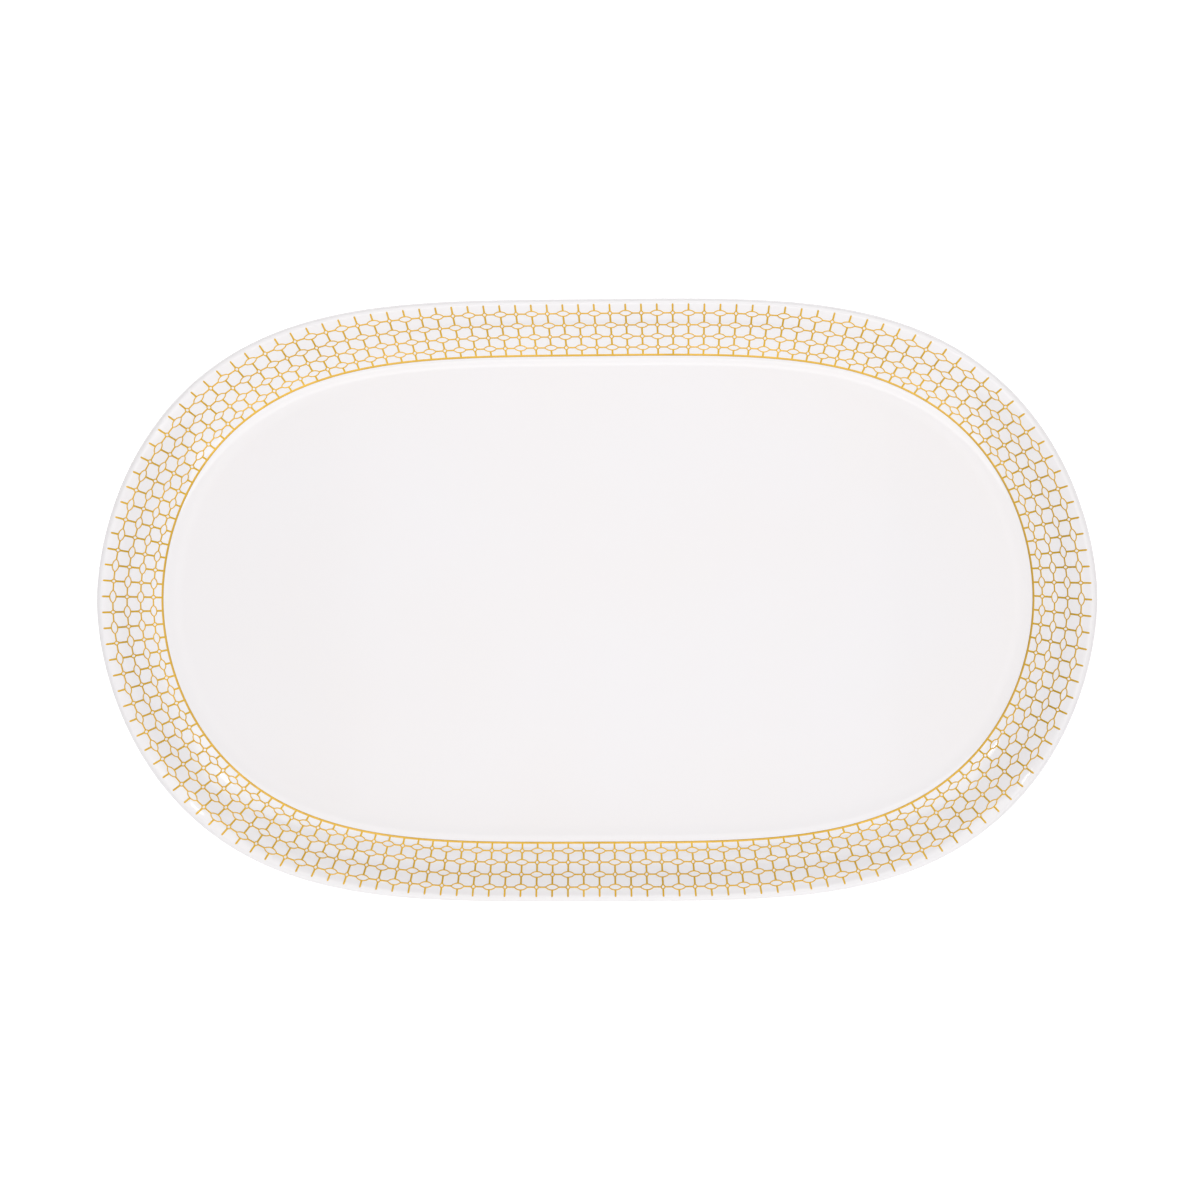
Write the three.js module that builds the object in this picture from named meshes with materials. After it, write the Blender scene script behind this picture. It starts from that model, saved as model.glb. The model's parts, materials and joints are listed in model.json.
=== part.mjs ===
// Oval serving platter: glazed porcelain on a foot ring, with a gold lattice round its rim.
// Millimetres, +Z up. X runs along the platter and Y across it. The origin is the middle of
// the plane that the foot ring stands on.
//
// Every surface is laid out on two oval rails: the gold line, where the well meets the rim,
// and the edge, the outermost line of the lip. A point has a turn, from 0 to 1 round the
// platter, and a station, its distance from the middle of the section through the short axis.

import * as THREE from "three";

// The edge and the gold line, in plan
const LENGTH = 380;
const WIDTH = 229;
const LINE_LENGTH = 333;
const LINE_WIDTH = 186.5;
const END_POWER = 3.8; // an oval is |x / a| ** END_POWER + |y / b| ** sidePower = 1
const EDGE_SIDE_POWER = 1.81;
const LINE_SIDE_POWER = 1.94;

// The section across the platter
const FOOT_HEIGHT = 3.2;
const FOOT_FACE = 2.4; // width of the flat ring that the platter stands on
const FOOT_INSET = 10; // from the gold line in to the foot's outer side
const FOOT_SPREAD = 0.9; // how much wider the foot gets on each side, at its root
const FLOOR_THICKNESS = 5.4;
const RIM_THICKNESS = 3.8;
const COVE_WIDTH = 7.4; // from the flat of the well out to the gold line
const LINE_SLOPE = THREE.MathUtils.degToRad(27);
const STEEPEST_SLOPE = THREE.MathUtils.degToRad(40);
const STEEPEST_SHARE = 0.6; // share of the rim's width, counted from the gold line
const LIP_SLOPE = THREE.MathUtils.degToRad(30);
const LIP_RADIUS = 1.5;

// The fired layers
const GLAZE = 0.3;
const GOLD = 0.2;
const LAYER_GAP = 0.25; // layers that are fused together keep this clearance here
const BARE_FOOT = 0.8; // the glaze stops this far above the foot's face

// The lattice
const COLUMNS = 160;
const ROWS = 4;
const FIRST_ROW = 0.139; // share of the rim's width, counted from the gold line
const LAST_ROW = 0.743;
const ROW_SPREAD = 0.06; // the rows stand this share closer than evenly at the first, and wider at the last
const TICK_END = 0.91; // where the free outer ends of the spokes stop
const WIRE_WIDTH = 0.6;
const LINE_BAND_WIDTH = 0.85;
const PATTERN_TURN = 1.39; // columns that the pattern is turned from the X axis
const PATTERN_DRIFT = 0.41; // columns that hand laying let it creep, at most
const DRIFT_START = 14; // the column where it starts to creep onwards

// How far, in columns, the turns are shifted along each rail: twice round, four times round,
// and twice round again but skewed, so that it isn't the same on both sides of an axis
const LINE_SHIFT = { twice: -0.815, fourTimes: 0.065, skew: -0.23 };
const EDGE_SHIFT = { twice: 0.326, fourTimes: -0.163, skew: -0.08 };

const SEGMENTS = 80; // facets round each porcelain surface
const COVE_STEPS = 2;
const WALL_STEPS = 3;
const FLARE_STEPS = 1;
const LIP_STEPS = 4;
const BACK_STEPS = 3;
const RAIL_SAMPLES = 720; // points round a rail that its length is measured with
const BISECTIONS = 40; // halvings that find where a rail lies in a direction

// Rails ----------------------------------------------------------------------------------

/** An oval that starts on +X and runs towards -Y, evenly by length. */
class OvalRail extends THREE.Curve {
  constructor(length, width, sidePower, shift) {
    super();
    this.halfLength = length / 2;
    this.halfWidth = width / 2;
    this.sidePower = sidePower;
    this.shift = shift;
    this.arcLengthDivisions = RAIL_SAMPLES;
  }

  getPoint(t, target = new THREE.Vector2()) {
    const around = -2 * Math.PI * t;
    const angle = Math.atan2(
      this.halfWidth * Math.sin(around),
      this.halfLength * Math.cos(around),
    );
    const direction = new THREE.Vector2(Math.cos(angle), Math.sin(angle));
    return target.copy(direction).multiplyScalar(this.reach(direction));
  }

  /** Distance from the middle to the oval in a direction, by bisection. */
  reach(direction) {
    let low = 0;
    let high = this.halfLength + this.halfWidth;
    for (let step = 0; step < BISECTIONS; step += 1) {
      const middle = (low + high) / 2;
      const x = Math.abs(middle * direction.x) / this.halfLength;
      const y = Math.abs(middle * direction.y) / this.halfWidth;
      if (x ** END_POWER + y ** this.sidePower < 1) low = middle;
      else high = middle;
    }
    return low;
  }

  /** The point at a turn. Turns crowd and spread a little, as the lattice's columns do. */
  atTurn(turn) {
    const columns =
      this.shift.twice * Math.sin(4 * Math.PI * turn) +
      this.shift.fourTimes * Math.sin(8 * Math.PI * turn) +
      this.shift.skew * Math.cos(4 * Math.PI * turn);
    return this.getPointAt(THREE.MathUtils.euclideanModulo(turn + columns / COLUMNS, 1));
  }
}

const lineRail = new OvalRail(LINE_LENGTH, LINE_WIDTH, LINE_SIDE_POWER, LINE_SHIFT);
const edgeRail = new OvalRail(LENGTH, WIDTH, EDGE_SIDE_POWER, EDGE_SHIFT);

const LINE_STATION = LINE_WIDTH / 2;
const EDGE_STATION = WIDTH / 2;
const RIM_WIDTH = EDGE_STATION - LINE_STATION;
const BASE_STATION = LINE_STATION - 2 * FOOT_INSET; // all is flat inside this station

/** The point above a turn at a station and height. */
function pointAt(turn, station, height) {
  const line = lineRail.atTurn(turn);
  const edge = edgeRail.atTurn(turn);
  const share = (Math.max(station, BASE_STATION) - LINE_STATION) / RIM_WIDTH;
  const inward = Math.min(station / BASE_STATION, 1);
  const plan = line.lerp(edge, share).multiplyScalar(inward);
  return new THREE.Vector3(plan.x, plan.y, height);
}

// The section ----------------------------------------------------------------------------

const FLOOR_HEIGHT = FOOT_HEIGHT + FLOOR_THICKNESS;
const LIP_STATION = EDGE_STATION - LIP_RADIUS * (1 + Math.sin(LIP_SLOPE));

/** An arc of the face, between two stations with known slopes. */
class FaceArc {
  constructor(start, end, firstSlope, lastSlope, height, stepCount) {
    this.start = start;
    this.end = end;
    this.firstSlope = firstSlope;
    this.height = height;
    this.stepCount = stepCount;
    this.radius = (end - start) / (Math.sin(lastSlope) - Math.sin(firstSlope));
  }

  slopeAt(station) {
    return Math.asin(Math.sin(this.firstSlope) + (station - this.start) / this.radius);
  }

  heightAt(station) {
    const drop = Math.cos(this.firstSlope) - Math.cos(this.slopeAt(station));
    return this.height + this.radius * drop;
  }
}

/** The cove, the wall that steepens outwards, and the flare that eases off to the lip. */
function makeFaceArcs() {
  const steepest = LINE_STATION + STEEPEST_SHARE * RIM_WIDTH;
  const ends = [
    [LINE_STATION, LINE_SLOPE, COVE_STEPS],
    [steepest, STEEPEST_SLOPE, WALL_STEPS],
    [LIP_STATION, LIP_SLOPE, FLARE_STEPS],
  ];
  let start = LINE_STATION - COVE_WIDTH;
  let slope = 0;
  let height = FLOOR_HEIGHT;
  return ends.map(([end, lastSlope, stepCount]) => {
    const arc = new FaceArc(start, end, slope, lastSlope, height, stepCount);
    start = end;
    slope = lastSlope;
    height = arc.heightAt(end);
    return arc;
  });
}

const faceArcs = makeFaceArcs();

function arcAt(station) {
  return faceArcs.find((arc) => station <= arc.end) ?? faceArcs.at(-1);
}

const lipCentre = new THREE.Vector2(
  EDGE_STATION - LIP_RADIUS,
  faceArcs.at(-1).heightAt(LIP_STATION) - LIP_RADIUS * Math.cos(LIP_SLOPE),
);

/** The height of the glazed face at a station outside the flat of the well. */
function faceHeight(station) {
  if (station <= LIP_STATION) return arcAt(station).heightAt(station);
  return lipCentre.y + Math.sqrt(LIP_RADIUS ** 2 - (station - lipCentre.x) ** 2);
}

/** Numbers evenly spaced from first to last, both included. */
function steps(first, last, count) {
  return Array.from({ length: count + 1 }, (_, i) => first + ((last - first) * i) / count);
}

/** The face: the flat well, then one arc after another up to the lip. */
function facePath() {
  const middle = new THREE.Vector2(0, FLOOR_HEIGHT);
  const wellEdge = new THREE.Vector2(faceArcs[0].start, FLOOR_HEIGHT);
  const arcs = faceArcs.flatMap((arc) =>
    steps(arc.start, arc.end, arc.stepCount)
      .slice(1)
      .map((station) => new THREE.Vector2(station, arc.heightAt(station))),
  );
  return [middle, wellEdge, ...arcs];
}

/** The rounded lip, from the end of the face to the start of the back. */
function lipPath() {
  const face = Math.PI / 2 + LIP_SLOPE;
  return steps(face, face - Math.PI, LIP_STEPS)
    .slice(1)
    .map((angle) =>
      new THREE.Vector2(Math.cos(angle), Math.sin(angle))
        .multiplyScalar(LIP_RADIUS)
        .add(lipCentre),
    );
}

/** The back of the rim, down to the glaze's end on the foot's outer side. */
function backPath() {
  const rim = steps(LIP_STATION, LINE_STATION, BACK_STEPS)
    .slice(1)
    .map((station) => {
      const slope = arcAt(station).slopeAt(station);
      return new THREE.Vector2(
        station + RIM_THICKNESS * Math.sin(slope),
        faceHeight(station) - RIM_THICKNESS * Math.cos(slope),
      );
    });
  const footOuter = LINE_STATION - FOOT_INSET;
  return [
    ...rim,
    new THREE.Vector2(footOuter + FOOT_SPREAD, FOOT_HEIGHT),
    new THREE.Vector2(footOuter + FOOT_SPREAD * (BARE_FOOT / FOOT_HEIGHT), BARE_FOOT),
  ];
}

/** The glazed base inside the foot, from the glaze's end to the middle. */
function basePath() {
  const footInner = LINE_STATION - FOOT_INSET - FOOT_FACE;
  return [
    new THREE.Vector2(footInner - FOOT_SPREAD * (BARE_FOOT / FOOT_HEIGHT), BARE_FOOT),
    new THREE.Vector2(footInner - FOOT_SPREAD, FOOT_HEIGHT),
    new THREE.Vector2(0, FOOT_HEIGHT),
  ];
}

/** A path moved into the porcelain, which lies on its right. */
function inset(path, distance) {
  return path.map((point, i) => {
    const before = path[Math.max(i - 1, 0)];
    const after = path[Math.min(i + 1, path.length - 1)];
    const into = (from, to) => to.clone().sub(from).normalize();
    const ahead = after === point ? into(before, point) : into(point, after);
    const behind = before === point ? ahead : into(before, point);
    const right = new THREE.Vector2(ahead.y + behind.y, -ahead.x - behind.x).normalize();
    const miter = distance / right.dot(new THREE.Vector2(ahead.y, -ahead.x));
    return point.clone().add(right.multiplyScalar(miter));
  });
}

// Solids ---------------------------------------------------------------------------------

/** Turns a profile like a round dish, then lays the round out on the two oval rails. */
function ovalLathe(profile, segments) {
  const geometry = new THREE.LatheGeometry(profile, segments);
  const position = geometry.getAttribute("position");
  for (let segment = 0; segment <= segments; segment += 1) {
    for (let i = 0; i < profile.length; i += 1) {
      const point = pointAt((segment % segments) / segments, profile[i].x, profile[i].y);
      position.setXYZ(segment * profile.length + i, point.x, point.y, point.z);
    }
  }
  return geometry;
}

function makeBody() {
  const glazed = [...facePath(), ...lipPath(), ...backPath()];
  const footOuter = LINE_STATION - FOOT_INSET;
  const foot = [
    new THREE.Vector2(footOuter, 0),
    new THREE.Vector2(footOuter - FOOT_FACE, 0),
  ];
  const depth = GLAZE + LAYER_GAP;
  return ovalLathe([...inset(glazed, depth), ...foot, ...inset(basePath(), depth)], SEGMENTS);
}

/** A layer of glaze whose outside is the given path, which starts or ends in the middle. */
function makeGlaze(path) {
  const inside = inset(path, GLAZE).reverse();
  const startsInMiddle = path[0].x === 0;
  return ovalLathe(startsInMiddle ? [...path, ...inside] : [...inside, ...path], SEGMENTS);
}

/** The gold line: a flat band lying on the face, half on the cove and half on the rim. */
function makeLine() {
  const stations = [LINE_STATION + LINE_BAND_WIDTH / 2, LINE_STATION - LINE_BAND_WIDTH / 2];
  const under = stations.map((s) => new THREE.Vector2(s, faceHeight(s) + LAYER_GAP));
  const over = under.map((point) => new THREE.Vector2(point.x, point.y + GOLD));
  return ovalLathe([...under, ...over.reverse(), under[0]], COLUMNS);
}

// The lattice ----------------------------------------------------------------------------

const HALF_WIRE = WIRE_WIDTH / 2;
const HALF_WIRE_TURN = HALF_WIRE / edgeRail.getLength();

/** The turn of a column of the lattice. */
function columnTurn(column) {
  const drift = PATTERN_DRIFT * Math.sin((2 * Math.PI * (column - DRIFT_START)) / COLUMNS);
  return (column + PATTERN_TURN + drift) / COLUMNS;
}

/** The station of a row of beads. Row 0 is the one nearest the gold line. */
function rowStation(row) {
  const share = row / (ROWS - 1);
  const spread = share + ROW_SPREAD * share * (share - 1);
  return LINE_STATION + RIM_WIDTH * THREE.MathUtils.lerp(FIRST_ROW, LAST_ROW, spread);
}

/** A point of a wire: on the clearance above the face, or on the wire's ridge. */
function wirePoint(turn, station, ridge) {
  const lift = LAYER_GAP + (ridge ? GOLD : 0);
  return pointAt(turn, station, faceHeight(station) + lift);
}

/** Where a spoke is cut at a station: its ridge and its two feet. */
function spokeEnd(turn, station) {
  return {
    ridge: wirePoint(turn, station, true),
    left: wirePoint(turn - HALF_WIRE_TURN, station, false),
    right: wirePoint(turn + HALF_WIRE_TURN, station, false),
  };
}

/** Where a ring wire and a spoke cross: one ridge point and four feet. */
function makeCrossing(column, row) {
  const turn = columnTurn(column);
  const station = rowStation(row);
  const foot = (side, way) =>
    wirePoint(turn + side * HALF_WIRE_TURN, station + way * HALF_WIRE, false);
  return {
    ridge: wirePoint(turn, station, true),
    innerLeft: foot(-1, -1),
    innerRight: foot(1, -1),
    outerLeft: foot(-1, 1),
    outerRight: foot(1, 1),
  };
}

const triangle = (a, b, c) => [a, b, c];
const quad = (a, b, c, d) => [a, b, c, a, c, d];

/** The two slopes and the underside of a ridged wire between two cuts. */
function wire(from, to) {
  return [
    ...quad(from.left, from.ridge, to.ridge, to.left),
    ...quad(from.ridge, from.right, to.right, to.ridge),
    ...quad(from.right, from.left, to.left, to.right),
  ];
}

/** The cuts where four wires meet a crossing. Left is as seen looking outwards or onwards. */
const cuts = {
  outer: (x) => ({ ridge: x.ridge, left: x.outerLeft, right: x.outerRight }),
  inner: (x) => ({ ridge: x.ridge, left: x.innerLeft, right: x.innerRight }),
  next: (x) => ({ ridge: x.ridge, left: x.outerRight, right: x.innerRight }),
  previous: (x) => ({ ridge: x.ridge, left: x.outerLeft, right: x.innerLeft }),
};

/** One spoke of the lattice, with the ring wires that run on from it to the next spoke. */
function makeColumn(crossings, nextCrossings, turn) {
  const inner = spokeEnd(turn, LINE_STATION + LINE_BAND_WIDTH / 2 + LAYER_GAP);
  const lip = spokeEnd(turn, LIP_STATION);
  const outer = spokeEnd(turn, LINE_STATION + TICK_END * RIM_WIDTH);
  const first = crossings[0];
  const last = crossings[ROWS - 1];
  return [
    ...triangle(inner.ridge, inner.left, inner.right),
    ...wire(inner, cuts.inner(first)),
    ...crossings.slice(1).flatMap((crossing, i) =>
      wire(cuts.outer(crossings[i]), cuts.inner(crossing)),
    ),
    ...wire(cuts.outer(last), lip),
    ...wire(lip, outer),
    ...triangle(outer.ridge, outer.right, outer.left),
    ...crossings.flatMap((x) => quad(x.innerLeft, x.outerLeft, x.outerRight, x.innerRight)),
    ...crossings.flatMap((crossing, row) =>
      wire(cuts.next(crossing), cuts.previous(nextCrossings[row])),
    ),
  ];
}

function makeLattice() {
  const grid = Array.from({ length: COLUMNS }, (_, column) =>
    Array.from({ length: ROWS }, (_, row) => makeCrossing(column, row)),
  );
  const corners = grid.flatMap((crossings, column) =>
    makeColumn(crossings, grid[(column + 1) % COLUMNS], columnTurn(column)),
  );
  return new THREE.BufferGeometry().setFromPoints(corners);
}

// The platter ----------------------------------------------------------------------------

const material = (color, roughness, metalness) =>
  new THREE.MeshStandardMaterial({ color, roughness, metalness });

const bisque = material("#ece7df", 0.75, 0);
const glaze = material("#f6f4f3", 0.08, 0);
const gold = material("#d6ad68", 0.25, 1);

const platter = new THREE.Group();

function addPart(name, geometry, finish) {
  const mesh = new THREE.Mesh(geometry, finish);
  mesh.name = name;
  platter.add(mesh);
}

addPart("porcelain_body", makeBody(), bisque);
addPart("glaze_coat", makeGlaze([...facePath(), ...lipPath(), ...backPath()]), glaze);
addPart("glaze_base", makeGlaze(basePath()), glaze);
addPart("gold_well_line", makeLine(), gold);
addPart("gold_lattice", makeLattice(), gold);

export default platter;
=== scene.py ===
"""The looks of an oval porcelain serving platter with a gold lattice, built on its CAD model.

Metres, in the CAD frame. As in the CAD model, a point on the porcelain has a turn, from 0 to 1
round the platter, and a station, its distance from the middle of the section through the short
axis. Turns are laid out on two oval rails: the gold line and the outer edge.
"""

import json
import math

import bpy
import numpy as np
from mathutils import Matrix, Vector


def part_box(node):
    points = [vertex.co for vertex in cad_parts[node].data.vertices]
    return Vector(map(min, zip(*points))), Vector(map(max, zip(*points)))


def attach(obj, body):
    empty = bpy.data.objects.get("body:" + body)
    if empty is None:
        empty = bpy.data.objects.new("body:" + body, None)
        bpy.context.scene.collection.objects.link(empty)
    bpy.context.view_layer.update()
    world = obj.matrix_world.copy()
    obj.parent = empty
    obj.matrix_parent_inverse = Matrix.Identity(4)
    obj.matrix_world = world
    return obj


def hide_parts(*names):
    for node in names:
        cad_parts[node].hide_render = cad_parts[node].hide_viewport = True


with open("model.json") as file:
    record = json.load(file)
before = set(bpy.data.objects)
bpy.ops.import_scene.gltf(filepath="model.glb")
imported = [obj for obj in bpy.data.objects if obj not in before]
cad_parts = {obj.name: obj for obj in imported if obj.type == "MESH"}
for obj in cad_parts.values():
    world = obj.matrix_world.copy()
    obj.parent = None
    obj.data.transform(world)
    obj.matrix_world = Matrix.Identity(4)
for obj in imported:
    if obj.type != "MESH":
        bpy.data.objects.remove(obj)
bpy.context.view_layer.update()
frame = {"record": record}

MM = 0.001
TAU = 2 * math.pi

# Sizes that the frame gives
MOUNT = {mount["name"]: mount["pos_m"] for mount in frame["record"]["mounts"]}
COAT_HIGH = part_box("glaze_coat")[1]
LINE_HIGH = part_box("gold_well_line")[1]
FLOOR_Z = MOUNT["well_floor"][2]
FOOT_STATION = abs(MOUNT["foot"][1])

# The section
LINE_BAND = 0.85 * MM  # width of the gold line
LINE_STATION = LINE_HIGH.y - LINE_BAND / 2
EDGE_STATION = COAT_HIGH.y
RIM_WIDTH = EDGE_STATION - LINE_STATION
FLAT_STATION = 2 * FOOT_STATION - LINE_STATION  # all is flat inside this station
BASE_Z = 3.2 * MM  # height of the base inside the foot ring
BASE_FLAT = 4 * MM  # the base is flat this far inside the foot
FOOT_FACE = 2.4 * MM  # width of the flat ring that the platter stands on
FOOT_SPREAD = 0.9 * MM  # how much wider the foot gets on each side, at its root
FOOT_EDGE = 0.35 * MM  # how far each way the edges of the foot's face are rounded off
ROOT_EDGE = 1.1 * MM  # the same at the foot's root
BARE_FOOT = 0.8 * MM  # the glaze stops this far above the foot's face
GLAZE = 0.3 * MM
RIM_THICKNESS = 3.8 * MM
LIP_RADIUS = 1.5 * MM
LIP_BLEND = 2 * MM  # the lip runs straight on to the back over this width
COVE_WIDTH = 7.4 * MM  # from the flat of the well out to the gold line
LINE_SLOPE = math.radians(27)
STEEPEST_SLOPE = math.radians(40)
STEEPEST_SHARE = 0.6  # of the rim's width, counted from the gold line
LIP_SLOPE = math.radians(30)
END_POWER = 3.8  # an oval is |x / a| ** END_POWER + |y / b| ** side_power = 1
EDGE_SIDE_POWER = 1.81
LINE_SIDE_POWER = 1.94

# The lattice
COLUMNS = 160
ROWS = 4
FIRST_ROW = 0.139  # share of the rim's width, counted from the gold line
LAST_ROW = 0.743
ROW_SPREAD = 0.06  # rows stand this share closer than evenly at the first, and wider at the last
TICK_END = 0.91  # where the free outer ends of the spokes stop
PATTERN_TURN = 1.39  # columns that the pattern is turned from +X
PATTERN_DRIFT = 0.41  # columns that hand laying lets it creep, at most
DRIFT_START = 14  # the column where it starts to creep onwards
LINE_SQUEEZE = (-0.815, 0.065)  # columns that the gold line's turns shift, in two waves
LINE_SKEW = -0.23
EDGE_SQUEEZE = (0.326, -0.163)  # the same at the outer edge
EDGE_SKEW = -0.08

SPOKE_WIDTH = 0.77 * MM
BAR_WIDTH = 0.57 * MM
OUTLINE_WIDTH = 0.46 * MM
ROUND_RADIUS = 0.70 * MM  # to the middle of the outline
LENS_REACH = 0.40  # half a lens's length, as a share of the column pitch
LENS_RISE = 1.0 * MM  # half a lens's height, to the middle of the outline, in stations
LENS_FULLNESS = 0.75  # 1 is a lens of two parabolas, and 0.5 an ellipse
FLARE = 0.08 * MM  # how much wider each side of a wire gets where it joins another
FLARE_REACH = 0.6 * MM
GOLD_LIFT = 0.05 * MM  # how high the middle of a wire stands over the glaze
GOLD_SINK = 0.02 * MM  # how deep its edges lie in the glaze
TIP_WIDTH = 0.2 * SPOKE_WIDTH  # how wide the end of a spoke's rounded tip stays

# How finely the curves are cut
SEGMENTS = 480  # round the platter
FLOOR_RINGS = 12
COVE_RINGS = 24
RIM_RINGS = 28
LIP_RINGS = 16
BACK_RINGS = 14
BASE_RINGS = 12
LINE_STEPS = 1440  # round the gold line
ROUND_STEPS = 24  # round a round bead
LENS_STEPS = 15  # along each side of a lens
BAR_STEPS = 13  # along a bar, or a spoke between two rows
WIRE_POINTS = 7  # across the top of a wire

# The studio and the camera
AMBIENT = 0.42
FLOOR_GLOW = 0.38
FLOOR_REACH = 6  # metres each way
SOFTBOXES = [  # name, azimuth and elevation in degrees, distance and size in metres, glow
    ("overhead", 180, 82, 0.38, (0.46, 0.42), 0.55),
    ("overhead_narrow", -90, 88, 1.2, (1.1, 0.20), 0.22),
    ("overhead_wide", -90, 88, 1.2, (1.1, 0.36), 0.20),
    ("front_strip", 0, 60, 1.2, (1.4, 0.40), 1.40),
    ("front", 0, 34, 1.2, (1.6, 0.85), 0.80),
    ("back", 180, 55, 1.2, (1.6, 0.5), 1.20),
    ("back_strip", 180, 33, 1.2, (1.2, 0.14), 0.6),
    ("right", 90, 52, 1.2, (1.2, 0.5), 0.38),
    ("left_strip", -90, 36, 1.2, (0.8, 0.10), 0.45),
    ("right_strip", 90, 36, 1.2, (0.8, 0.10), 0.45),
    ("back_lamp_right", 143, 46, 1.2, (0.07, 0.035), 8),
    ("back_lamp_left", -127, 43, 1.2, (0.07, 0.035), 8),
]
CAMERA_HEIGHT = 1.55  # above its aim
CAMERA_LEAN = (75 * MM, 90 * MM)  # how far the camera stands from straight above its aim
VIEW_WIDTH = 454.5 * MM  # at the height of the lip
CAMERA_AIM = (2.25 * MM, 0.65 * MM)
CAMERA_ROLL = math.radians(-0.45)


# Rails ------------------------------------------------------------------------------------


class Rail:
    """An oval that starts on +X and runs towards -Y, evenly by length."""

    STEPS = 5760
    HALVINGS = 50  # to find where the oval lies in a direction

    def __init__(self, half_length, half_width, side_power, squeeze, skew):
        around = np.linspace(0, -TAU, self.STEPS + 1)
        angle = np.arctan2(half_width * np.sin(around), half_length * np.cos(around))
        direction = np.stack([np.cos(angle), np.sin(angle)])
        low = np.zeros_like(angle)
        high = np.full_like(angle, half_length + half_width)
        for _ in range(self.HALVINGS):
            middle = (low + high) / 2
            x = np.abs(middle * direction[0]) / half_length
            y = np.abs(middle * direction[1]) / half_width
            inside = x**END_POWER + y**side_power < 1
            low = np.where(inside, middle, low)
            high = np.where(inside, high, middle)
        self.points = direction * low
        lengths = np.hypot(*np.diff(self.points))
        self.shares = np.concatenate([[0], np.cumsum(lengths)]) / lengths.sum()
        self.squeeze = squeeze
        self.skew = skew

    def at(self, turn):
        """X and Y at turns. Turns crowd and spread a little, as the lattice's columns do."""
        twice, four_times = self.squeeze
        shift = twice * np.sin(2 * TAU * turn) + four_times * np.sin(4 * TAU * turn)
        shift += self.skew * np.cos(2 * TAU * turn)
        share = (turn + shift / COLUMNS) % 1
        return np.stack([np.interp(share, self.shares, xy) for xy in self.points])


LINE_RAIL = Rail(
    LINE_HIGH.x - LINE_BAND / 2, LINE_STATION, LINE_SIDE_POWER, LINE_SQUEEZE, LINE_SKEW
)
EDGE_RAIL = Rail(COAT_HIGH.x, EDGE_STATION, EDGE_SIDE_POWER, EDGE_SQUEEZE, EDGE_SKEW)


def plan_at(turn, station):
    """X and Y, first axis, at turns and stations."""
    line = LINE_RAIL.at(turn)
    edge = EDGE_RAIL.at(turn)
    share = (np.maximum(station, FLAT_STATION) - LINE_STATION) / RIM_WIDTH
    inward = np.minimum(station / FLAT_STATION, 1)
    return (line + share * (edge - line)) * inward


def point_at(turn, station, height):
    """Points at turns, stations and heights, as an array whose last axis is X, Y, Z."""
    turn, station, height = np.broadcast_arrays(turn, station, height)
    x, y = plan_at(turn, station)
    return np.stack([x, y, height], axis=-1)


def to_pattern(turn, station, offset):
    """What a small offset in X and Y, first axis, comes to in turn and station."""
    step = 1e-4
    by_turn = (plan_at(turn + step, station) - plan_at(turn - step, station)) / (2 * step)
    by_station = (EDGE_RAIL.at(turn) - LINE_RAIL.at(turn)) / RIM_WIDTH
    area = by_turn[0] * by_station[1] - by_turn[1] * by_station[0]
    in_turn = (offset[0] * by_station[1] - offset[1] * by_station[0]) / area
    in_station = (by_turn[0] * offset[1] - by_turn[1] * offset[0]) / area
    return in_turn, in_station


# The section ------------------------------------------------------------------------------

LIP_STATION = EDGE_STATION - LIP_RADIUS * (1 + math.sin(LIP_SLOPE))
FACE_ARCS = [  # where each arc of the face starts and the slope there, and where the last one ends
    (LINE_STATION - COVE_WIDTH, 0),
    (LINE_STATION, LINE_SLOPE),
    (LINE_STATION + STEEPEST_SHARE * RIM_WIDTH, STEEPEST_SLOPE),
    (LIP_STATION, LIP_SLOPE),
]


def face_slope(station):
    """The slope of the glazed face, whose sine grows evenly along an arc."""
    stations, slopes = zip(*FACE_ARCS)
    return np.arcsin(np.interp(station, stations, np.sin(slopes)))


def face_height(station):
    """The height of the glazed face: the flat well, then one arc after another, and the lip."""
    past_lip = np.maximum(station, LIP_STATION) - (EDGE_STATION - LIP_RADIUS)
    lip_rise = np.sqrt(LIP_RADIUS**2 - past_lip**2) - LIP_RADIUS * math.cos(LIP_SLOPE)
    height = FLOOR_Z + lip_rise
    for (start, first), (end, last) in zip(FACE_ARCS, FACE_ARCS[1:]):
        slope = face_slope(np.clip(station, start, end))
        radius = (end - start) / (math.sin(last) - math.sin(first))
        height = height + radius * (math.cos(first) - np.cos(slope))
    return height


def arc(centre, radius, first, last, count):
    """Points of an arc, from angle first to angle last."""
    angle = np.linspace(first, last, count + 1)
    return np.stack([centre[0] + radius * np.cos(angle), centre[1] + radius * np.sin(angle)], 1)


def rounded(corners, steps=6):
    """A path through corners (station, height, reach), each rounded off that far each way."""
    points = [corners[0][:2]]
    for before, corner, after in zip(corners, corners[1:], corners[2:]):
        at = np.array(corner[:2])
        back = np.array(before[:2]) - at
        ahead = np.array(after[:2]) - at
        start = at + back / np.linalg.norm(back) * corner[2]
        end = at + ahead / np.linalg.norm(ahead) * corner[2]
        for t in np.linspace(0, 1, steps + 1):
            points.append((1 - t) ** 2 * start + 2 * t * (1 - t) * at + t**2 * end)
    points.append(corners[-1][:2])
    return np.array(points)


def inset(path, depth):
    """A path moved into the porcelain, which lies on its right."""
    along = np.diff(path, axis=0)
    along /= np.linalg.norm(along, axis=1)[:, None]
    along = np.concatenate([along[:1], along[:-1] + along[1:], along[-1:]])
    along /= np.linalg.norm(along, axis=1)[:, None]
    return path + depth * np.stack([along[:, 1], -along[:, 0]], 1)


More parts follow.
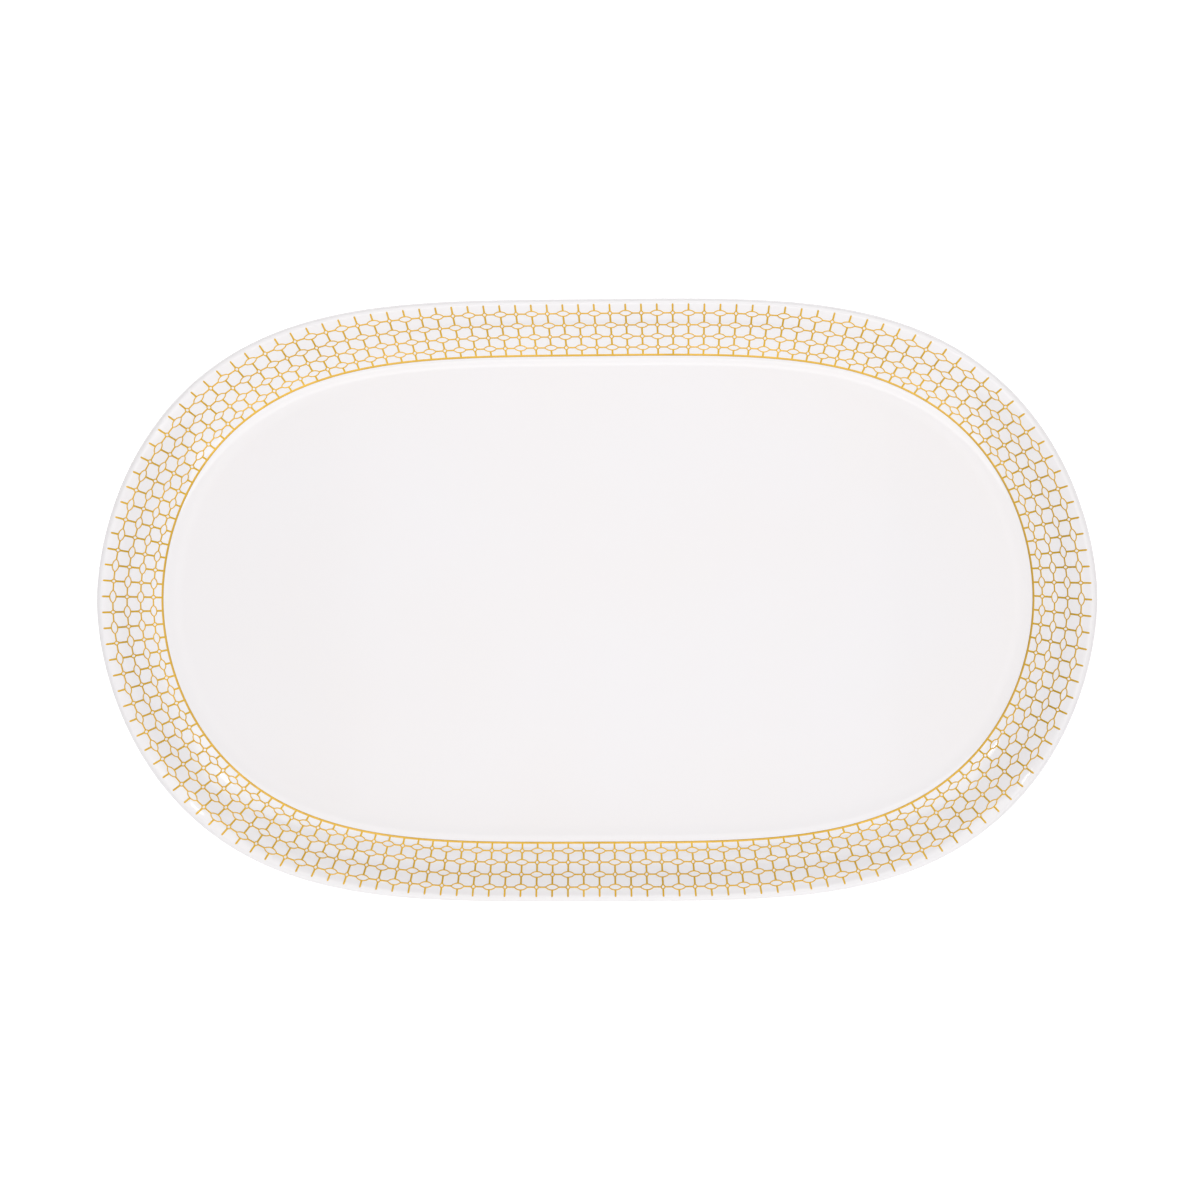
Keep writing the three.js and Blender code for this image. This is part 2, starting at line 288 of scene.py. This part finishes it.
def face_path():
    """The well floor, the cove up to the gold line, and the rim."""
    cove_start = LINE_STATION - COVE_WIDTH
    floor = np.linspace(0, cove_start - 2 * MM, FLOOR_RINGS)
    cove = np.linspace(cove_start - MM, LINE_STATION, COVE_RINGS)[:-1]
    rim = np.linspace(LINE_STATION, LIP_STATION, RIM_RINGS)
    station = np.concatenate([floor, cove, rim])
    return np.stack([station, face_height(station)], 1)


def lip_path():
    """The rounded lip, from the end of the face to the start of the back."""
    first = math.pi / 2 + LIP_SLOPE
    height = face_height(LIP_STATION) - LIP_RADIUS * math.cos(LIP_SLOPE)
    centre = (EDGE_STATION - LIP_RADIUS, height)
    return arc(centre, LIP_RADIUS, first, first - math.pi, LIP_RINGS)[1:]


def back_path():
    """The back of the rim and the haunch, down to where the glaze ends on the foot."""
    station = np.linspace(LIP_STATION - LIP_BLEND, LINE_STATION, BACK_RINGS)
    slope = face_slope(station)
    out = station + RIM_THICKNESS * np.sin(slope)
    height = face_height(station) - RIM_THICKNESS * np.cos(slope)
    rim = np.stack([out, height], 1)
    foot = FOOT_STATION + FOOT_FACE / 2
    haunch = [
        (*rim[-1], 0),
        (foot + FOOT_SPREAD, BASE_Z, ROOT_EDGE),
        (foot + FOOT_SPREAD * BARE_FOOT / BASE_Z, BARE_FOOT, 0),
    ]
    return np.concatenate([rim, rounded(haunch)[1:]])


def base_path():
    """The glazed base, from where the glaze ends on the foot to the middle."""
    foot = FOOT_STATION - FOOT_FACE / 2
    side = [
        (foot - FOOT_SPREAD * BARE_FOOT / BASE_Z, BARE_FOOT, 0),
        (foot - FOOT_SPREAD, BASE_Z, ROOT_EDGE),
        (foot - BASE_FLAT, BASE_Z, 0),
    ]
    flat = np.linspace(foot - BASE_FLAT - MM, 0, BASE_RINGS)
    return np.concatenate([rounded(side), np.stack([flat, np.full_like(flat, BASE_Z)], 1)])


# Meshes -----------------------------------------------------------------------------------


def make_piece(name, points, faces, slot, *nodes, finish=None):
    """A smooth mesh piece that rides on the platter and stands for CAD nodes.

    Its material is the slot's own, or the finish where it differs a little.
    """
    mesh = bpy.data.meshes.new(name)
    mesh.from_pydata(points.reshape(-1, 3).tolist(), [], faces)
    mesh.polygons.foreach_set("use_smooth", [True] * len(mesh.polygons))
    mesh.materials.append(MATERIALS[finish or slot])
    piece = bpy.data.objects.new(name, mesh)
    bpy.context.scene.collection.objects.link(piece)
    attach(piece, "root")
    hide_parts(*nodes)


def oval_lathe(profile):
    """Points and faces of a closed profile laid round the rails. Its ends may be on the axis."""
    on_axis = np.abs(profile[:, 0]) < 1e-9
    rings = profile[~on_axis]
    turn = np.arange(SEGMENTS)[:, None] / SEGMENTS
    points = point_at(turn, rings[:, 0], rings[:, 1]).reshape(-1, 3)
    this = np.arange(SEGMENTS) * len(rings)
    following = np.roll(this, -1)
    faces = []
    for i in range(len(rings) - 1 if on_axis.any() else len(rings)):
        j = (i + 1) % len(rings)
        faces += np.stack([this + i, following + i, following + j, this + j], 1).tolist()
    poles = [[0, 0, height] for height in profile[on_axis, 1]]
    if poles:
        first, last = len(points), len(points) + 1
        faces += [(first, b, a) for a, b in zip(this.tolist(), following.tolist())]
        end = len(rings) - 1
        faces += [(last, a + end, b + end) for a, b in zip(this.tolist(), following.tolist())]
        points = np.concatenate([points, poles])
    return points, faces


def wires(turn, station, half_width, closed=False):
    """Points and faces of flat half-round wires lying on the face.

    The arrays are wires by steps. Widths are as seen from above, across each wire.
    """
    turn, station, half_width = np.broadcast_arrays(turn, station, half_width)
    here = plan_at(turn, station)
    if closed:
        along = np.roll(here, -1, axis=2) - np.roll(here, 1, axis=2)
    else:
        along = np.gradient(here, axis=2)
    along /= np.hypot(*along)
    across = np.stack([along[1], -along[0]]) * half_width
    in_turn, in_station = to_pattern(turn, station, across)
    angle = np.linspace(0, math.pi, WIRE_POINTS)
    side = np.cos(angle)
    lift = (GOLD_LIFT + GOLD_SINK) * np.sin(angle) - GOLD_SINK
    turn = turn[..., None] + in_turn[..., None] * side
    station = station[..., None] + in_station[..., None] * side
    points = point_at(turn, station, face_height(station) + lift)
    return points, tube_faces(*turn.shape, closed)


def tube_faces(count, steps, around, closed):
    """Faces of tubes whose points are in order of tube, step and place round the tube."""
    tube = np.arange(count)[:, None, None] * steps * around
    step = np.arange(steps if closed else steps - 1)[:, None]
    place = np.arange(around)
    this = tube + step * around
    following = tube + (step + 1) % steps * around
    after = (place + 1) % around
    quads = np.stack(
        [this + place, following + place, following + after, this + after], axis=-1
    )
    faces = quads.reshape(-1, 4).tolist()
    if not closed:
        last = (steps - 1) * around
        faces += (tube[:, 0] + place).tolist()
        faces += (tube[:, 0] + last + place[::-1]).tolist()
    return faces


def joined(parts):
    """One list of points and faces from several."""
    points = []
    faces = []
    for part_points, part_faces in parts:
        start = sum(len(p) for p in points)
        points.append(part_points.reshape(-1, 3))
        faces += [[i + start for i in face] for face in part_faces]
    return np.concatenate(points), faces


# The porcelain and its glaze --------------------------------------------------------------


def glazed_path():
    return np.concatenate([face_path(), lip_path(), back_path()])


def make_glaze():
    """The glaze over the face, the lip and the back. Its inside is cut half as finely."""
    path = glazed_path()
    shell = np.concatenate([path, inset(path, GLAZE)[::-2]])
    make_piece("glaze_face_and_back", *oval_lathe(shell), "glaze", "glaze_coat")


def make_base_glaze():
    """The glaze inside the foot ring."""
    path = base_path()
    shell = np.concatenate([inset(path, GLAZE)[::-1], path])
    make_piece("glaze_inside_foot", *oval_lathe(shell), "glaze", "glaze_base")


def make_body():
    """The porcelain under the glaze, which shows where the foot ring is bare."""
    outer = inset(glazed_path(), GLAZE)[::2]
    inner = inset(base_path(), GLAZE)
    foot = [
        (*outer[-1], 0),
        (FOOT_STATION + FOOT_FACE / 2, 0, FOOT_EDGE),
        (FOOT_STATION - FOOT_FACE / 2, 0, FOOT_EDGE),
        (*inner[0], 0),
    ]
    profile = np.concatenate([outer, rounded(foot)[1:-1], inner])
    make_piece("porcelain_body_and_foot", *oval_lathe(profile), "bisque", "porcelain_body")


# The gold ---------------------------------------------------------------------------------


def column_turn(column):
    drift = PATTERN_DRIFT * np.sin(TAU * (column - DRIFT_START) / COLUMNS)
    return (column + PATTERN_TURN + drift) / COLUMNS


def row_station(row):
    """The station of a row of beads. Row 0 is the one nearest the gold line."""
    share = row / (ROWS - 1)
    spread = share + ROW_SPREAD * share * (share - 1)
    return LINE_STATION + RIM_WIDTH * (FIRST_ROW + (LAST_ROW - FIRST_ROW) * spread)


def is_round(column, row):
    """Round beads and lenses take turns along each row and along each spoke."""
    return (column + row) % 2 == 1


def outwards(turn):
    """How far out a step of one station goes in plan."""
    return np.hypot(*(EDGE_RAIL.at(turn) - LINE_RAIL.at(turn))) / RIM_WIDTH


def onwards(turn, station):
    """How far along a row one turn goes in plan, near a turn."""
    step = 1e-3
    ahead = plan_at(turn + step, station) - plan_at(turn - step, station)
    return np.hypot(*ahead) / (2 * step)


def bead_reach(column, row):
    """Half a bead's length along its row, in turns, and half its height, in stations."""
    turn = column_turn(column)
    pitch = (column_turn(column + 1) - column_turn(column - 1)) / 2
    round_turn = ROUND_RADIUS / onwards(turn, row_station(row))
    round_bead = is_round(column, row)
    along = np.where(round_bead, round_turn, LENS_REACH * pitch)
    out = np.where(round_bead, ROUND_RADIUS / outwards(turn), LENS_RISE)
    return along, out


def flared(half_width, lengths, share):
    """Half widths of wires at shares of their lengths: wider where they join others."""
    from_end = np.minimum(share, 1 - share) * lengths
    near = np.maximum(1 - from_end / FLARE_REACH, 0)
    return half_width + FLARE * near**2


def free_ended(half_width, lengths, share):
    """Half widths of wires whose last ends are free: rounded there, and not flared."""
    from_tip = np.clip((1 - share) * lengths / (SPOKE_WIDTH / 2), 0, 1)
    plain = np.minimum(half_width, SPOKE_WIDTH / 2)
    rounded_off = plain * np.sqrt(1 - (1 - from_tip) ** 2)
    return np.maximum(np.where(share > 0.5, rounded_off, half_width), TIP_WIDTH / 2)


def bar_shares():
    """Shares of a straight wire's length, close together near its ends."""
    return (1 - np.cos(np.linspace(0, math.pi, BAR_STEPS))) / 2


def round_beads(row):
    """The outlines of a row's round beads."""
    column = np.arange(COLUMNS)
    turn = column_turn(column[is_round(column, row)])[:, None]
    station = row_station(row)
    angle = np.linspace(0, TAU, ROUND_STEPS, endpoint=False)
    offset = ROUND_RADIUS * np.stack([np.cos(angle), np.sin(angle)])[:, None, :]
    in_turn, in_station = to_pattern(turn, station, offset)
    return wires(turn + in_turn, station + in_station, OUTLINE_WIDTH / 2, closed=True)


def lenses(row):
    """The pointed outlines of a row's lenses: the outer side, then the inner side back."""
    column = np.arange(COLUMNS)
    here = ~is_round(column, row)
    turn = column_turn(column[here])[:, None]
    along, out = (reach[here][:, None] for reach in bead_reach(column, row))
    forth = np.linspace(-1, 1, LENS_STEPS)
    back = np.linspace(1, -1, LENS_STEPS)[1:-1]
    across = np.concatenate([forth, back])
    side = np.concatenate([np.ones_like(forth), -np.ones_like(back)])
    station = row_station(row) + out * side * (1 - across**2) ** LENS_FULLNESS
    return wires(turn + along * across, station, OUTLINE_WIDTH / 2, closed=True)


def bars(row):
    """The bars that join each bead of a row to the next."""
    column = np.arange(COLUMNS)
    turn = column_turn(column)
    station = row_station(row)
    along = bead_reach(column, row)[0]
    start = (turn + along)[:, None]
    end = (np.roll(turn - along, -1) + (column == COLUMNS - 1))[:, None]
    lengths = (end - start) * onwards(turn, station)[:, None]
    share = bar_shares()
    half_width = flared(BAR_WIDTH / 2, lengths, share)
    return wires(start + (end - start) * share, station, half_width)


def make_beads(row):
    """The round beads and the lenses of a row, and the bars between them."""
    name = f"gold_bead_row_{row + 1}"
    beads = joined([round_beads(row), lenses(row), bars(row)])
    make_piece(name, *beads, "lattice_gold", "gold_lattice", finish="bead_gold")


def make_spokes():
    """The spokes, from the gold line to their free ends, cut where they meet a bead."""
    column = np.arange(COLUMNS)
    turn = column_turn(column)[:, None]
    share = bar_shares()
    start = np.full((COLUMNS, 1), LINE_STATION)
    parts = []
    for row in range(ROWS):
        out = bead_reach(column, row)[1][:, None]
        length = row_station(row) - out - start
        parts.append(wires(turn, start + length * share, flared(SPOKE_WIDTH / 2, length, share)))
        start = row_station(row) + out
    length = LINE_STATION + TICK_END * RIM_WIDTH - start
    half_width = free_ended(flared(SPOKE_WIDTH / 2, length, share), length, share)
    parts.append(wires(turn, start + length * share, half_width))
    make_piece("gold_spokes", *joined(parts), "lattice_gold", "gold_lattice")


def make_line():
    """The gold line round the well."""
    turn = np.linspace(0, 1, LINE_STEPS, endpoint=False)[None, :]
    band = wires(turn, np.full_like(turn, LINE_STATION), LINE_BAND / 2, True)
    make_piece("gold_line", *band, "line_gold", "gold_well_line")


# Materials --------------------------------------------------------------------------------


class Surface:
    """A Principled material and the noise that varies it, in the platter's own coordinates."""

    NOISE_SPAN = (0.3, 0.7)  # most of a noise's values lie in here

    def __init__(self, name):
        self.material = bpy.data.materials.new(name)
        self.material.use_nodes = True
        self.nodes = self.material.node_tree.nodes
        self.links = self.material.node_tree.links
        self.shader = self.nodes["Principled BSDF"]
        self.place = self.nodes.new("ShaderNodeTexCoord").outputs["Object"]

    def set(self, values):
        """Sets sockets of the shader to constants."""
        for socket, value in values.items():
            self.shader.inputs[socket].default_value = value

    def noise(self, scale, detail=2, stretch=(1, 1, 1)):
        """A noise texture's factor. Scale is in waves per metre."""
        mapping = self.nodes.new("ShaderNodeMapping")
        mapping.inputs["Scale"].default_value = stretch
        noise = self.nodes.new("ShaderNodeTexNoise")
        noise.inputs["Scale"].default_value = scale
        noise.inputs["Detail"].default_value = detail
        self.links.new(self.place, mapping.inputs["Vector"])
        self.links.new(mapping.outputs["Vector"], noise.inputs["Vector"])
        return noise.outputs["Fac"]

    def colour(self, factor, low, high):
        """Base colour from a noise factor, between two colours."""
        ramp = self.nodes.new("ShaderNodeValToRGB")
        stops = zip(ramp.color_ramp.elements, self.NOISE_SPAN, (low, high))
        for element, position, colour in stops:
            element.position = position
            element.color = (*colour, 1)
        self.links.new(factor, ramp.inputs["Fac"])
        self.links.new(ramp.outputs["Color"], self.shader.inputs["Base Color"])

    def roughness(self, factor, low, high):
        """Roughness from a noise factor, between two values."""
        ranged = self.nodes.new("ShaderNodeMapRange")
        ranged.inputs["From Min"].default_value = self.NOISE_SPAN[0]
        ranged.inputs["From Max"].default_value = self.NOISE_SPAN[1]
        ranged.inputs["To Min"].default_value = low
        ranged.inputs["To Max"].default_value = high
        self.links.new(factor, ranged.inputs["Value"])
        self.links.new(ranged.outputs["Result"], self.shader.inputs["Roughness"])

    def bump(self, *layers):
        """Relief from (factor, depth in metres) layers."""
        normal = None
        for factor, depth in layers:
            bump = self.nodes.new("ShaderNodeBump")
            bump.inputs["Strength"].default_value = 1
            bump.inputs["Distance"].default_value = depth
            self.links.new(factor, bump.inputs["Height"])
            if normal:
                self.links.new(normal, bump.inputs["Normal"])
            normal = bump.outputs["Normal"]
        self.links.new(normal, self.shader.inputs["Normal"])


def glaze_material():
    """Clear gloss over white porcelain, with the faint waves of a fired glaze."""
    surface = Surface("glaze")
    surface.set({"IOR": 1.58})
    surface.colour(surface.noise(14), (0.892, 0.865, 0.870), (0.892, 0.871, 0.886))
    surface.roughness(surface.noise(40), 0.05, 0.09)
    waves = surface.noise(9, stretch=(1, 0.35, 1))
    peel = surface.noise(180)
    streaks = surface.noise(70, stretch=(1, 0.12, 1))
    surface.bump((waves, 0.25 * MM), (streaks, 0.02 * MM), (peel, 0.004 * MM))
    return surface.material


def bisque_material():
    """Bare fired porcelain: matt, a little warm, with fine grain."""
    surface = Surface("bisque")
    speck = surface.noise(900, detail=4)
    surface.colour(speck, (0.70, 0.66, 0.60), (0.80, 0.77, 0.72))
    surface.roughness(surface.noise(300), 0.7, 0.9)
    surface.bump((speck, 0.05 * MM))
    return surface.material


def gold_material(name, dark, light, smooth, rough):
    """Burnished gold, a little uneven in tone and in polish."""
    surface = Surface(name)
    surface.set({"Metallic": 0.85})
    surface.colour(surface.noise(60, detail=3), dark, light)
    surface.roughness(surface.noise(500), smooth, rough)
    surface.bump((surface.noise(2500), 0.006 * MM))
    return surface.material


MATERIALS = {
    "glaze": glaze_material(),
    "bisque": bisque_material(),
    "lattice_gold": gold_material(
        "lattice_gold", (0.67, 0.41, 0.03), (0.79, 0.49, 0.06), 0.42, 0.55
    ),
    "bead_gold": gold_material(
        "bead_gold", (0.73, 0.44, 0.04), (0.85, 0.52, 0.07), 0.42, 0.55
    ),
    "line_gold": gold_material(
        "line_gold", (0.64, 0.39, 0.055), (0.73, 0.45, 0.080), 0.34, 0.46
    ),
}


# The studio -------------------------------------------------------------------------------


def make_floor():
    """A white table that glows enough to lose the platter's shadow."""
    mesh = bpy.data.meshes.new("floor")
    ways = [(-1, -1), (1, -1), (1, 1), (-1, 1)]
    corners = [(x * FLOOR_REACH, y * FLOOR_REACH, 0) for x, y in ways]
    mesh.from_pydata(corners, [], [(0, 1, 2, 3)])
    surface = Surface("floor")
    glow = {"Emission Color": (1, 1, 1, 1), "Emission Strength": FLOOR_GLOW}
    surface.set({"Roughness": 0.9, "Specular IOR Level": 0.0, **glow})
    surface.colour(surface.noise(3), (0.90, 0.90, 0.90), (0.92, 0.92, 0.92))
    mesh.materials.append(surface.material)
    floor = bpy.data.objects.new("floor", mesh)
    bpy.context.scene.collection.objects.link(floor)


def make_world():
    world = bpy.data.worlds.new("studio")
    world.use_nodes = True
    background = world.node_tree.nodes["Background"]
    background.inputs["Color"].default_value = (1, 1, 1, 1)
    background.inputs["Strength"].default_value = AMBIENT
    bpy.context.scene.world = world


def softbox(name, azimuth, elevation, distance, size, glow):
    """A rectangular light that faces the platter. Azimuth 0 is on -Y and 90 on +X."""
    light = bpy.data.lights.new(name, "AREA")
    light.shape = "RECTANGLE"
    light.size, light.size_y = size
    light.energy = glow * size[0] * size[1] * math.pi  # so that glow is its radiance
    box = bpy.data.objects.new(name, light)
    across = math.radians(azimuth)
    up = math.radians(elevation)
    way = Vector(
        (math.sin(across) * math.cos(up), -math.cos(across) * math.cos(up), math.sin(up))
    )
    box.location = way * distance
    box.rotation_euler = way.to_track_quat("Z", "Y").to_euler()
    box.visible_camera = False
    bpy.context.scene.collection.objects.link(box)


def make_camera():
    """Straight above the platter, far enough for the rims to keep their proportions."""
    camera = bpy.data.cameras.new("camera")
    camera.sensor_width = 36
    aim = Vector((*CAMERA_AIM, COAT_HIGH.z))
    back = Vector((*CAMERA_LEAN, CAMERA_HEIGHT))
    camera.lens = back.length / VIEW_WIDTH * camera.sensor_width
    stand = bpy.data.objects.new("camera", camera)
    stand.location = aim + back
    tilt = Vector((0, 0, 1)).rotation_difference(back).to_matrix()
    stand.rotation_euler = (tilt @ Matrix.Rotation(CAMERA_ROLL, 3, "Z")).to_euler()
    bpy.context.scene.collection.objects.link(stand)
    bpy.context.scene.camera = stand


make_glaze()
make_base_glaze()
make_body()
for bead_row in range(ROWS):
    make_beads(bead_row)
make_spokes()
make_line()

make_floor()
make_world()
for settings in SOFTBOXES:
    softbox(*settings)
make_camera()
bpy.context.scene.view_settings.view_transform = "Standard"
